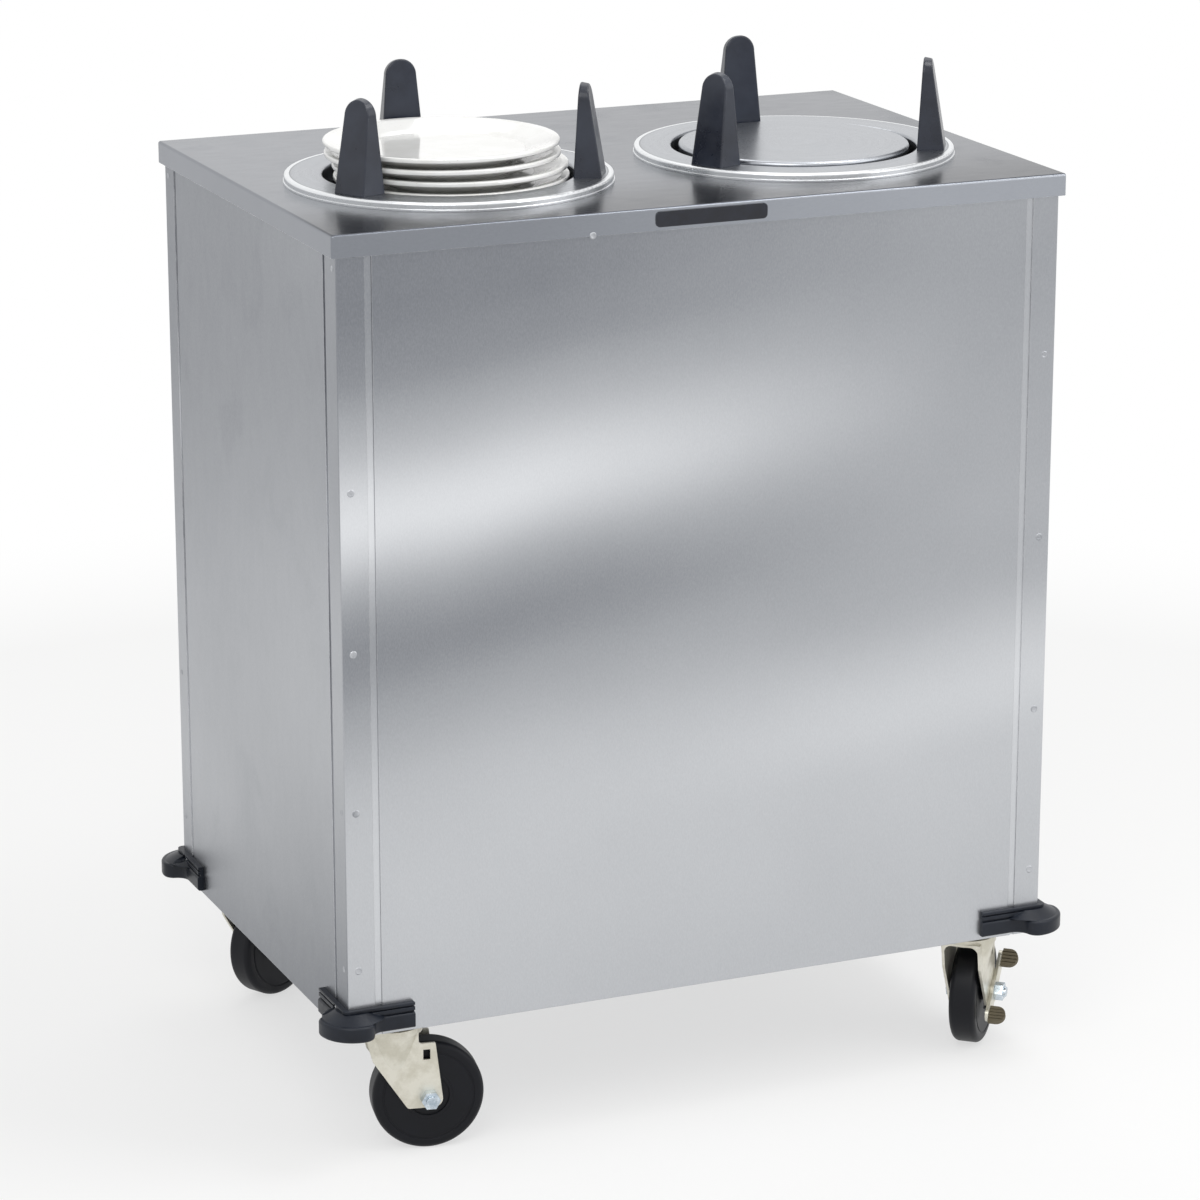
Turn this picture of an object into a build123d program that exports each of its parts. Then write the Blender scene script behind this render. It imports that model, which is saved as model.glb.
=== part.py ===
from build123d import *
from math import atan2, cos, degrees, hypot, radians, sin, sqrt, tan
import os

# Two-stack plate dispenser cart, in millimetres.
# Origin on the floor under the middle of the cart, X along the length, -Y to the front, Z up.

# Cabinet
body_length = 858.0
body_depth = 578.0
cabinet_height = 900.0  # bottom of the skirt to the top of the deck
panel_sheet = 1.2
deck_sheet = 1.5
deck_overhang = 6.0
deck_bend = 3.0
lip_height = 25.0
post_face = 32.0  # width of a corner post's outer faces
post_bend = 2.0
post_reveal = 8.0  # recessed strip that shows between post and panel
post_flange = 14.0  # part of the post that lies behind the panel
joggle_lap = 2.0
top_return = 20.0
bottom_return = 12.0
return_clearance = 3.0
pan_sheet = 1.5
pan_flange = 20.0
pan_corner = 4.0
weld_pad = (110.0, 80.0)
weld_pad_thickness = 4.0

# Bare plate on the lid's front lip
plate_size = (132.0, 17.0)
plate_thickness = 1.2
plate_corner = 5.0

# Corner bumpers
bumper_arm = 76.0
bumper_low = 5.0  # above the skirt's bottom edge
bumper_band = 18.0  # height of the lower bulging band
bumper_height = 29.5
bumper_core = 4.0
bumper_rib = 7.0
bumper_ribs = ((2.5, 4.0), (8.5, 3.0))  # (start above the band, height) of each rib
band_reach = 8.0
nose_reach = 30.0
nose_radius = 40.0
nose_blend = 28.0  # length of the curve from nose to arm
nose_shoulder = (35.0, 20.0, 8.0)  # low radius, top radius and height of the slope on the nose
band_round = 3.0
rivet_place = 24.0  # from the cabinet's corner
rivet_height = 23.5  # above the bumper's bottom
rivet_shank = 2.4
rivet_head = 4.0
rivet_head_height = 1.8
rivet_recess = 5.2
rivet_hole_clearance = 0.1

# Dispensers
dispenser_spacing = 422.0
dispenser_setback = -58.0  # the dispensers sit toward the front of the deck
collar_radius = 182.5
collar_height = 9.6
collar_sheet = 1.5
collar_bend = 2.5
collar_bead = 0.9
collar_bead_height = 2.4
throat_radius = 140.0
throat_depth = 12.0  # below the top of the deck
throat_roll = 3.5
tube_gap = 0.3  # between throat and tube
tube_sheet = 1.2
tube_flange = 5.0
tube_bend = 3.2
deck_hole_gap = 3.5
slot_width = 16.0
slot_margin = 0.5
tube_tail = 15.0  # plain tube below the slots

# Plate guides
guide_angles = (90.0, 210.0, 330.0)
slot_angles = (30.0, 150.0, 270.0)
guide_gap = 1.5  # from the throat to a guide's inner face
guide_height = 102.0
guide_base = 52.0
guide_shoulder = 39.0
guide_depth = 31.0
guide_taper = 10.0  # degrees that each side turns in toward the back
guide_lean = 5.0  # the inner face leans out by this much at the top
guide_tip = 9.0
guide_crown = 6.5  # rounding from the back slope over the top
guide_round = 1.8
guide_crown_loss = 0.33  # height that rounding the top edge takes off
screw_radius = 2.4
screw_hole_clearance = 0.2
screw_head = 4.2
screw_head_height = 2.8
screw_depth = 14.0
screw_spread = 24.0
screw_inset = 14.0  # from a guide's inner face

# Plates
plate_count = 4
dish_radius = 131.0
dish_height = 25.0
dish_pitch = 13.0  # each plate stands this much above the one below
dish_level = 38.0  # top rim above the collar
dish_rim = 5.5
dish_well = 93.0
foot_radius = 80.0
foot_width = 7.0
dish_shift = ((2.5, -1.0), (1.5, 0.0), (-6.4, 2.8), (-7.6, 3.3))  # the stack is not quite true

# Carriers and springs
carrier_radius = 131.5
carrier_sheet = 1.5
carrier_rim = 10.0
carrier_round = 4.0
carrier_proud = 3.0  # an empty carrier stands above its collar
carrier_travel = 560.0
leg_radius = 5.0
leg_circle = 105.0
leg_length = 145.0
spider_thickness = 4.0
spider_hub = 34.0
spider_arm = 10.0
spider_bore = 12.0
arm_reach = 161.0
hook_circle = 155.0
hook_hole = 3.0
hook_gap = 0.3  # between a spring's hook and what it pulls on
anchor_drop = 22.0  # spring anchors below the top of the deck
anchor_sheet = 2.0
anchor_width = 14.0
wire_radius = 1.0
coil_radius = 7.0
coil_gap = 3.0

# Casters
caster_height = 157.0
caster_inset = (68.0, 46.0)  # swivel axis from the side and front faces
caster_plate = (95.0, 64.0)
caster_plate_thickness = 3.0
caster_plate_corner = 6.0
bolt_spacing = (73.0, 46.0)
bolt_radius = 4.0
bolt_hole_clearance = 0.25
bolt_flats = 13.0
bolt_head = 5.3
nut_height = 6.5
bolt_end = 2.0
kingpin_radius = 6.0
kingpin_head = (10.0, 3.0)
running_gap = 0.06
float_gap = 0.3
race_radius = 27.0
race_inner = 16.0
race_height = 3.0
ball_radius = 3.1
ball_circle = 22.0
ball_count = 12
crown_radius = 34.0
crown_thickness = 3.25
cup_wall = 3.0
cup_height = 4.5
leg_gap = 40.0  # between the fork's legs
fork_round = 9.0  # inner rounding between crown and legs
leg_notch = (26.0, 15.0)  # behind this distance from the axis the legs end this far below the crown
fork_sheet = 3.2
flare_low = 100.0  # height where the pressed flare runs out into the leg
trail = 38.0
wheel_radius = 63.5
tyre_width = 32.0
tyre_round = 7.0
tyre_line = (50.0, 52.5, 0.8)  # radii and depth of the moulded line on each side
hub_radius = 27.0
hub_width = 38.0
hub_dish = (13.0, 23.5, 5.0)
hub_seat_gap = 0.05
axle_radius = 6.0
axle_flats = 19.0
axle_head = 7.5
axle_nut = 10.0
axle_end = 3.0
axle_hole_clearance = 0.2
sleeve_radius = 8.0
sleeve_gap = 0.1
window_size = (8.0, 12.0)
window_place = (-3.0, 52.5)  # from the axle
cut_reach = 120.0  # half length of the bodies that cut the whole fork
caster_turns = {
    "front_left": -11.0,
    "front_right": 49.0,
    "back_left": 29.0,
    "back_right": -120.0,
}
braked = ("front_right", "back_right")

# Foot brake
lever_sheet = 4.0
lever_gap = 0.2
lever_width = 17.0
lever_boss = 13.0
lever_high = (33.0, 30.0)  # ends of the rocker from the axle: along the trail, up
lever_low = (-30.0, -19.0)
pad_reach = 19.0
pad_width = 22.0
pad_thick = 6.0
pad_ribs = 4
pad_rib = 1.2
pad_rounding = 0.95  # corner rounding as a share of the half width

# Worked out
half_length = body_length / 2
half_depth = body_depth / 2
skirt_bottom = caster_height - panel_sheet
deck_top = skirt_bottom + cabinet_height
deck_under = deck_top - deck_sheet
collar_top = deck_top + collar_height
dispenser_places = {
    "left": (-dispenser_spacing / 2, dispenser_setback),
    "right": (dispenser_spacing / 2, dispenser_setback),
}
tube_inner = throat_radius + collar_sheet + tube_gap
tube_outer = tube_inner + tube_sheet
stack_height = dish_height + (plate_count - 1) * dish_pitch
empty_carrier_top = collar_top + carrier_proud
carrier_tops = {"left": collar_top + dish_level - stack_height, "right": empty_carrier_top}
spider_high = empty_carrier_top - carrier_sheet - leg_length
slot_top = spider_high + slot_margin
slot_bottom = spider_high - spider_thickness - carrier_travel - slot_margin
tube_bottom = slot_bottom - tube_tail
anchor_level = deck_top - anchor_drop
spring_circle = hook_circle + coil_radius
# height of a hook's centre above the bottom edge that it pulls on
hook_seat = sqrt((coil_radius - wire_radius - hook_gap) ** 2 - (coil_radius - hook_hole) ** 2)
guide_inner = throat_radius + guide_gap
guide_blank_height = guide_height + guide_lean * tan(radians(guide_taper)) + guide_crown_loss
plate_under = caster_height - caster_plate_thickness
crown_top = plate_under - race_height - 2 * ball_radius - float_gap
crown_under = crown_top - crown_thickness
hub_bore = sleeve_radius + running_gap
leg_outer = leg_gap / 2 + fork_sheet
bumper_bottom = skirt_bottom + bumper_low
corners = {
    "front_left": (-1, -1),
    "front_right": (1, -1),
    "back_left": (-1, 1),
    "back_right": (1, 1),
}


def save(name, pieces):
    """Write one node; a list of pieces is kept as separate solids."""
    shape = Compound(children=pieces) if isinstance(pieces, list) else pieces
    export_step(shape, f"parts/{name}.step")


def block(x, y, z):
    """Box between two x, two y and two z values."""
    middle = [(low + high) / 2 for low, high in (x, y, z)]
    return Pos(*middle) * Box(x[1] - x[0], y[1] - y[0], z[1] - z[0])


def rod(x, y, z, radius):
    """Upright cylinder between two heights."""
    return Pos(x, y, (z[0] + z[1]) / 2) * Cylinder(radius, z[1] - z[0])


def cross_rod(x, z, y, radius):
    """Cylinder along Y between two y values."""
    return Pos(x, (y[0] + y[1]) / 2, z) * Rot(90, 0, 0) * Cylinder(radius, y[1] - y[0])


def outline(corner_list):
    """Closed outline through (a, b, rounding) corners."""
    points = [(a, b) for a, b, rounding in corner_list]
    roundings = [rounding for a, b, rounding in corner_list]
    return make_face(FilletPolyline(*points, radius=roundings, close=True))


def turned(corner_list):
    """Ring turned about Z from (radius, height, rounding) corners."""
    return revolve(Plane.XZ * outline(corner_list), Axis.Z, 360)


def hexagon(flats, height):
    return extrude(RegularPolygon(flats / 2, 6, major_radius=False), height)


def at_corner(shape, sides):
    """Move a piece drawn for the front left corner to the corner on the given sides."""
    if sides[0] > 0:
        shape = mirror(shape, about=Plane.YZ)
    if sides[1] > 0:
        shape = mirror(shape, about=Plane.XZ)
    return shape


def polar(circle, angle):
    return circle * cos(radians(angle)), circle * sin(radians(angle))


# Cabinet

def make_top_deck():
    reach_x = half_length + deck_overhang
    reach_y = half_depth + deck_overhang
    shell = block((-reach_x, reach_x), (-reach_y, reach_y), (deck_top - lip_height, deck_top))
    bends = shell.edges().filter_by(Axis.Z) + shell.edges().group_by(Axis.Z)[-1]
    shell = fillet(bends, deck_bend)
    hollow_x = reach_x - deck_sheet
    hollow_y = reach_y - deck_sheet
    hollow = block((-hollow_x, hollow_x), (-hollow_y, hollow_y), (deck_top - lip_height - 1, deck_under))
    bends = hollow.edges().filter_by(Axis.Z) + hollow.edges().group_by(Axis.Z)[-1]
    deck = shell - fillet(bends, deck_bend - deck_sheet)
    for x, y in dispenser_places.values():
        deck -= rod(x, y, (deck_under - 1, deck_top + 1), tube_outer + deck_hole_gap)
    return deck


def make_panel(length, depth):
    """Panel across the front of a body of this length and depth."""
    edge = length / 2 - post_face - post_reveal
    fold = edge - post_flange - return_clearance
    face = -depth / 2
    panel = block((-edge, edge), (face, face + panel_sheet), (skirt_bottom, deck_under))
    panel += block((-fold, fold), (face, face + top_return), (deck_under - panel_sheet, deck_under))
    panel += block((-fold, fold), (face, face + bottom_return), (skirt_bottom, skirt_bottom + panel_sheet))
    return panel


def make_post():
    """Front left corner post: an angle whose edges step back behind the panels."""
    x = -half_length
    y = -half_depth
    z = (skirt_bottom, deck_under)
    lap = post_face - joggle_lap
    tail = post_face + post_reveal + post_flange
    step = (panel_sheet, 2 * panel_sheet)
    angle = block((x, x + post_face), (y, y + post_face), z)
    angle -= block((x + panel_sheet, x + post_face + 1), (y + panel_sheet, y + post_face + 1), z)
    outer_edge = angle.edges().filter_by(Axis.Z).sort_by(lambda edge: edge.center().X + edge.center().Y)
    angle = fillet(outer_edge[0], post_bend)
    angle += block((x + lap, x + tail), (y + step[0], y + step[1]), z)
    angle += block((x + step[0], x + step[1]), (y + lap, y + tail), z)
    return angle - bumper_fixing(rivet_shank + rivet_hole_clearance, (-1, 2 * panel_sheet + 1))


def make_base_pan():
    """Tray on the panels' bottom returns, with a welded pad over each caster."""
    reach_x = half_length - 2 * panel_sheet
    reach_y = half_depth - 2 * panel_sheet
    z = (caster_height, caster_height + pan_flange)
    pan = block((-reach_x, reach_x), (-reach_y, reach_y), z)
    pan = fillet(pan.edges().filter_by(Axis.Z), pan_corner)
    hollow_x = reach_x - pan_sheet
    hollow_y = reach_y - pan_sheet
    hollow = block((-hollow_x, hollow_x), (-hollow_y, hollow_y), (z[0] + pan_sheet, z[1] + 1))
    pan -= fillet(hollow.edges().filter_by(Axis.Z), pan_corner - pan_sheet)
    for place in caster_places().values():
        pad_x = (place[0] - weld_pad[0] / 2, place[0] + weld_pad[0] / 2)
        pad_y = (place[1] - weld_pad[1] / 2, place[1] + weld_pad[1] / 2)
        pan += block(pad_x, pad_y, (z[0], z[0] + pan_sheet + weld_pad_thickness))
        for x, y in bolt_places(place):
            pan -= rod(x, y, (z[0] - 1, z[1]), bolt_radius + bolt_hole_clearance)
    return pan


def make_name_plate():
    face = -half_depth - deck_overhang
    middle = deck_top - lip_height / 2
    blank = extrude(RectangleRounded(*plate_size, plate_corner), plate_thickness)
    return Pos(0, face, middle) * Rot(90, 0, 0) * blank


# Corner bumpers

def bumper_fixing(radius, depth):
    """Rod through the left face at the front left corner, from depth[0] to depth[1] inside it."""
    middle = -half_length + (depth[0] + depth[1]) / 2
    place = Pos(middle, -half_depth + rivet_place, bumper_bottom + rivet_height)
    return place * Rot(0, 90, 0) * Cylinder(radius, depth[1] - depth[0])


def corner_strip(reach, z, rounding):
    """L-shaped strip of the given thickness round the front left corner."""
    x = -half_length
    y = -half_depth
    profile = outline([
        (x, y, 0),
        (x, y + bumper_arm, 0),
        (x - reach, y + bumper_arm, 0),
        (x - reach, y - reach, rounding),
        (x + bumper_arm, y - reach, 0),
        (x + bumper_arm, y, 0),
    ])
    return extrude(Pos(0, 0, z[0]) * profile, z[1] - z[0])


def nose_outline():
    """Plan of the lower band: two arms that swell into a round nose at the corner."""
    x = -half_length
    y = -half_depth
    centre = nose_radius - nose_reach
    drop = nose_reach - band_reach
    middle = centre + nose_blend / 2
    arm = centre + nose_blend
    # each blend is two equal arcs, which meet half way down the slope
    slope_radius = (nose_blend**2 + drop**2) / (4 * drop)
    edges = []
    for swap in (False, True):
        points = [
            (centre, -nose_reach),
            (middle, -(nose_reach + band_reach) / 2),
            (arm, -band_reach),
            (bumper_arm, -band_reach),
            (bumper_arm, 0),
            (0, 0),
        ]
        places = [(x + b, y + a) if swap else (x + a, y + b) for a, b in points]
        turn = -1 if swap else 1
        edges.append(RadiusArc(places[0], places[1], -turn * slope_radius))
        edges.append(RadiusArc(places[1], places[2], turn * slope_radius))
        edges.append(Polyline(*places[2:]))
    edges.append(CenterArc((x + centre, y + centre), nose_radius, 180, 90))
    return make_face(edges)


def make_bumper():
    """Front left bumper."""
    band_top = bumper_bottom + bumper_band
    band = extrude(Pos(0, 0, bumper_bottom) * nose_outline(), bumper_band)
    outer = [edge for edge in band.edges().group_by(Axis.Z)[-1] + band.edges().group_by(Axis.Z)[0]
             if edge.center().X < -half_length - 1 or edge.center().Y < -half_depth - 1]
    outer = [edge for edge in outer if not on_arm_end(edge)]
    bumper = fillet(outer, band_round)
    bumper += corner_strip(bumper_core, (band_top, bumper_bottom + bumper_height), bumper_core)
    for start, height in bumper_ribs:
        bumper += corner_strip(bumper_rib, (band_top + start, band_top + start + height), bumper_rib)
    bumper += make_nose_shoulder(band_top)
    bumper -= bumper_fixing(rivet_recess, (-nose_reach, -bumper_core))
    return bumper - bumper_fixing(rivet_shank + rivet_hole_clearance, (-bumper_core - 1, 1))


def make_nose_shoulder(low):
    """Slope from near the nose's top edge up to the ribs."""
    low_radius, top_radius, height = nose_shoulder
    centre = nose_radius - nose_reach
    place = Pos(-half_length + centre, -half_depth + centre, low + height / 2)
    cone = place * Cone(low_radius, top_radius, height)
    far = nose_radius * 2
    z = (low - 1, low + height + 1)
    return cone - block((-half_length, -half_length + far), (-half_depth, -half_depth + far), z)


def on_arm_end(edge):
    """True for an edge on the cut end of a bumper's arm."""
    far_x = abs(edge.center().X - (-half_length + bumper_arm)) < 0.01
    far_y = abs(edge.center().Y - (-half_depth + bumper_arm)) < 0.01
    return far_x or far_y


def make_bumper_rivet():
    """Rivet of the front left bumper."""
    head = bumper_fixing(rivet_head, (-bumper_core - rivet_head_height, -bumper_core))
    rivet = fillet(head.edges().filter_by(GeomType.CIRCLE), rivet_head_height / 3)
    rivet += bumper_fixing(rivet_shank, (-bumper_core, panel_sheet))
    return rivet + bumper_fixing(rivet_head, (panel_sheet, panel_sheet + rivet_head_height))


# Dispensers

def make_collar():
    """Flanged ring that rests on the deck; its throat hangs into the cut-out."""
    rim = collar_radius
    profile = [
        (throat_radius, deck_top - throat_depth, 0),
        (throat_radius, collar_top, throat_roll),
        (rim, collar_top, collar_bend),
        (rim, deck_top + collar_bead_height, 0),
        (rim + collar_bead, deck_top + collar_bead_height, 0),
        (rim + collar_bead, deck_top, 0),
        (rim - collar_sheet, deck_top, 0),
        (rim - collar_sheet, collar_top - collar_sheet, collar_bend - collar_sheet),
        (throat_radius + collar_sheet, collar_top - collar_sheet, throat_roll - collar_sheet),
        (throat_radius + collar_sheet, deck_top - throat_depth, 0),
    ]
    collar = turned(profile)
    for x, y in screw_places():
        collar -= rod(x, y, (deck_top, collar_top + 1), screw_radius + screw_hole_clearance)
    return collar


def make_tube():
    """Silo tube with three slots and three spring anchors."""
    flange_top = collar_top - collar_sheet
    profile = [
        (tube_inner, tube_bottom, 0),
        (tube_inner, flange_top, tube_bend),
        (tube_outer + tube_flange, flange_top, 0),
        (tube_outer + tube_flange, flange_top - tube_sheet, 0),
        (tube_outer, flange_top - tube_sheet, tube_bend - tube_sheet),
        (tube_outer, tube_bottom, 0),
    ]
    tube = turned(profile)
    for angle in slot_angles:
        slot = block((tube_inner / 2, tube_outer + 1), (-slot_width / 2, slot_width / 2), (slot_bottom, slot_top))
        tube -= Rot(0, 0, angle) * slot
        anchor = block(
            (tube_outer - tube_sheet / 2, arm_reach),
            (-anchor_width / 2, anchor_width / 2),
            (anchor_level - anchor_sheet / 2, anchor_level + anchor_sheet / 2),
        )
        anchor -= rod(hook_circle, 0, (anchor_level - anchor_sheet, anchor_level + anchor_sheet), hook_hole)
        tube += Rot(0, 0, angle) * anchor
    return tube


def screw_places():
    """Guide screws round a dispenser's centre."""
    circle = guide_inner + screw_inset
    places = []
    for angle in guide_angles:
        for side in (-screw_spread / 2, screw_spread / 2):
            x, y = polar(circle, angle)
            along_x, along_y = polar(side, angle + 90)
            places.append((x + along_x, y + along_y))
    return places


def guide_front():
    """Front view of a guide: tapered sides, round top, carried on below its base."""
    round_radius = guide_shoulder / 2
    straight = guide_blank_height - round_radius
    low = -guide_depth
    spread = (guide_base / 2 - round_radius) / straight
    half = guide_base / 2 - spread * low
    side = Polyline((-round_radius, straight), (-half, low), (half, low), (round_radius, straight))
    top = CenterArc((0, straight), round_radius, 0, 180)
    return make_face([side.edges(), top.edge()])


def make_guide():
    """Guide at angle 0 round the origin, standing on z = 0 with its inner face toward the centre."""
    front = Plane(origin=(guide_inner, 0, 0), x_dir=(0, 1, 0), z_dir=(1, 0, 0)) * guide_front()
    body = extrude(front, guide_depth + guide_round, taper=guide_taper)
    side = outline([
        (guide_inner, 0, 0),
        (guide_inner + guide_depth, 0, 0),
        (guide_inner + guide_lean + guide_tip, guide_blank_height, guide_crown),
        (guide_inner + guide_lean, guide_blank_height, 0),
    ])
    body &= extrude(Plane.XZ * side, guide_base, both=True)
    body = fillet([edge for edge in body.edges() if edge.center().Z > guide_round], guide_round)
    circle = guide_inner + screw_inset
    for side_step in (-screw_spread / 2, screw_spread / 2):
        body -= rod(circle, side_step, (-1, screw_depth + 1), screw_radius + screw_hole_clearance)
    return body


def make_guide_screws():
    screws = []
    flange_under = collar_top - collar_sheet
    for x, y in screw_places():
        shank = rod(x, y, (flange_under, collar_top + screw_depth), screw_radius)
        head = rod(x, y, (flange_under - screw_head_height, flange_under), screw_head)
        screws.append(shank + head)
    return screws


def make_carrier(top):
    """Round platform with three legs down to the spider."""
    under = top - carrier_sheet
    profile = [
        (0, under, 0),
        (0, top, 0),
        (carrier_radius, top, carrier_round),
        (carrier_radius, top - carrier_rim, 0),
        (carrier_radius - carrier_sheet, top - carrier_rim, 0),
        (carrier_radius - carrier_sheet, under, carrier_round - carrier_sheet),
    ]
    carrier = turned(profile)
    for angle in slot_angles:
        carrier += rod(*polar(leg_circle, angle), (under - leg_length, under), leg_radius)
    return carrier


def make_spider(top):
    """Three arms that reach out through the tube's slots to the springs."""
    z = (top - spider_thickness, top)
    spider = rod(0, 0, z, spider_hub)
    for angle in slot_angles:
        foot = block((0, leg_circle + 2 * leg_radius), (-leg_radius * 2, leg_radius * 2), z)
        arm = block((leg_circle, arm_reach), (-spider_arm / 2, spider_arm / 2), z)
        arm -= rod(hook_circle, 0, (z[0] - 1, z[1] + 1), hook_hole)
        spider += Rot(0, 0, angle) * (foot + arm)
    return spider - rod(0, 0, (z[0] - 1, z[1] + 1), spider_bore)


def make_spring(low, high):
    """Close-wound extension spring between two hook heights, drawn at angle 0."""
    coil = rod(spring_circle, 0, (low + coil_gap, high - coil_gap), coil_radius + wire_radius)
    coil -= rod(spring_circle, 0, (low, high), coil_radius - wire_radius)
    for level in (low, high):
        coil += Pos(spring_circle, 0, level) * Rot(90, 0, 0) * Torus(coil_radius, wire_radius)
    return coil


def make_dish():
    """Plate turned about Z, standing on z = 0 on its foot ring."""
    rim_under = dish_height - dish_rim
    rise = dish_radius - dish_well
    return turned([
        (0, dish_pitch * 0.35, 0),
        (foot_radius - foot_width - 3, dish_pitch * 0.35, 2),
        (foot_radius - foot_width, 0, 1),
        (foot_radius, 0, 1),
        (foot_radius + 4, dish_pitch * 0.35, 2),
        (dish_well + 3, dish_pitch * 0.6, 6),
        (dish_radius - 3, rim_under - 0.6, 4),
        (dish_radius, rim_under + 0.6, 1.5),
        (dish_radius, dish_height, 2.2),
        (dish_radius - rise * 0.22, dish_height - 0.6, 8),
        (dish_well + rise * 0.18, dish_pitch + 3.2, 9),
        (dish_well, dish_pitch, 3),
        (0, dish_pitch, 0),
    ])


# Casters, drawn round the swivel axis with the wheel trailing along +X

def caster_places():
    places = {}
    for name, (side_x, side_y) in corners.items():
        places[name] = (side_x * (half_length - caster_inset[0]), side_y * (half_depth - caster_inset[1]))
    return places


def bolt_places(place):
    reach_x = bolt_spacing[0] / 2
    reach_y = bolt_spacing[1] / 2
    return [(place[0] + a * reach_x, place[1] + b * reach_y) for a in (-1, 1) for b in (-1, 1)]


def make_caster_plate():
    """Top plate with its bearing ring and the riveted kingpin."""
    plate = extrude(RectangleRounded(*caster_plate, caster_plate_corner), caster_plate_thickness)
    plate = Pos(0, 0, plate_under) * plate
    plate += rod(0, 0, (plate_under - race_height, plate_under), race_radius)
    plate -= rod(0, 0, (plate_under - race_height - 1, plate_under), race_inner)
    head_radius, head_height = kingpin_head
    head_top = crown_under - float_gap
    plate += rod(0, 0, (head_top, caster_height), kingpin_radius)
    plate += rod(0, 0, (head_top - head_height, head_top), head_radius)
    for x, y in bolt_places((0, 0)):
        plate -= rod(x, y, (plate_under - 1, caster_height + 1), bolt_radius + bolt_hole_clearance)
    return plate


def make_balls():
    level = plate_under - race_height - ball_radius
    step = 360 / ball_count
    return [Pos(*polar(ball_circle, n * step), level) * Sphere(ball_radius) for n in range(ball_count)]


def make_caster_bolts(place):
    """Four bolts up through the plate and pan, with their nuts on the welded pad."""
    pieces = []
    seat = caster_height + pan_sheet + weld_pad_thickness
    for x, y in bolt_places(place):
        bolt = rod(x, y, (plate_under, seat + nut_height + bolt_end), bolt_radius)
        bolt += Pos(x, y, plate_under - bolt_head) * hexagon(bolt_flats, bolt_head)
        nut = Pos(x, y, seat) * hexagon(bolt_flats, nut_height)
        nut -= rod(x, y, (seat - 1, seat + nut_height + 1), bolt_radius + bolt_hole_clearance)
        pieces += [bolt, nut]
    return pieces


def make_fork():
    """Crown with a raised cup, two legs and the pressed flare that joins them."""
    crown = rod(0, 0, (crown_under, crown_top), crown_radius)
    cup = rod(0, 0, (crown_under, crown_top + cup_height), crown_radius)
    cup -= rod(0, 0, (crown_under - 1, crown_top + cup_height + 1), crown_radius - cup_wall)
    leg_side = extrude(Plane.XZ * leg_outline(), crown_radius + 1, both=True)
    slab = block((-crown_radius, wheel_radius), (-leg_outer, leg_outer), (0, crown_top))
    core = block((-cut_reach, cut_reach), (-leg_gap / 2, leg_gap / 2), (0, crown_under))
    core = fillet(core.edges().filter_by(Axis.X).group_by(Axis.Z)[-1], fork_round)
    drop = crown_top - flare_low
    flare = Pos(0, 0, flare_low + drop / 2) * Cone(leg_outer, crown_radius, drop)
    hollow = Pos(0, 0, flare_low + drop / 2) * Cone(leg_outer - fork_sheet, crown_radius - fork_sheet, drop)
    flare -= hollow & block((-cut_reach, cut_reach), (-cut_reach, cut_reach), (0, crown_under))
    fork = crown + cup + (((slab + flare) & leg_side) - core)
    fork -= rod(0, 0, (0, caster_height), kingpin_radius + running_gap)
    fork -= cross_rod(trail, wheel_radius, (-cut_reach, cut_reach), axle_radius + axle_hole_clearance)
    window_x = trail + window_place[0]
    window_z = wheel_radius + window_place[1]
    half_x = window_size[0] / 2
    half_z = window_size[1] / 2
    window = ((window_x - half_x, window_x + half_x), (window_z - half_z, window_z + half_z))
    return fork - block(window[0], (-cut_reach, cut_reach), window[1])


def leg_outline():
    """Side view of a fork leg: sloped front edge, nearly upright back edge, notched behind the crown."""
    foot = wheel_radius - axle_flats / 2 - 1.5
    back = trail + 7.0
    notch, drop = leg_notch
    return outline([
        (-crown_radius, crown_top, 0),
        (-crown_radius + 8, flare_low + 12, 6),
        (trail - 25, foot, 5),
        (trail + 16, foot, 10),
        (back, crown_top - drop, 1.5),
        (notch, crown_top - drop, 3),
        (notch, crown_top, 0),
    ])


def wheel_turned(corner_list):
    """Ring turned about the axle from (radius, distance from the wheel's middle, rounding)."""
    return Pos(trail, 0, wheel_radius) * Rot(90, 0, 0) * turned(corner_list)


def make_tyre():
    half = tyre_width / 2
    bore = hub_radius + hub_seat_gap
    line_in, line_out, depth = tyre_line
    profile = [(bore, -half, 0), (line_in, -half, 0), (line_in, -half + depth, 0)]
    profile += [(line_out, -half + depth, 0), (line_out, -half, 0), (wheel_radius, -half, tyre_round)]
    mirrored = [(radius, -place, rounding) for radius, place, rounding in reversed(profile)]
    return wheel_turned(profile + mirrored)


def make_hub():
    half = hub_width / 2
    rim = tyre_width / 2
    dish_in, dish_out, depth = hub_dish
    profile = [(hub_bore, -half, 0), (dish_in, -half, 1), (dish_in, -half + depth, 0)]
    profile += [(dish_out, -half + depth, 0), (dish_out, -rim, 0), (hub_radius, -rim, 0)]
    mirrored = [(radius, -place, rounding) for radius, place, rounding in reversed(profile)]
    return wheel_turned(profile + mirrored)


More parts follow.
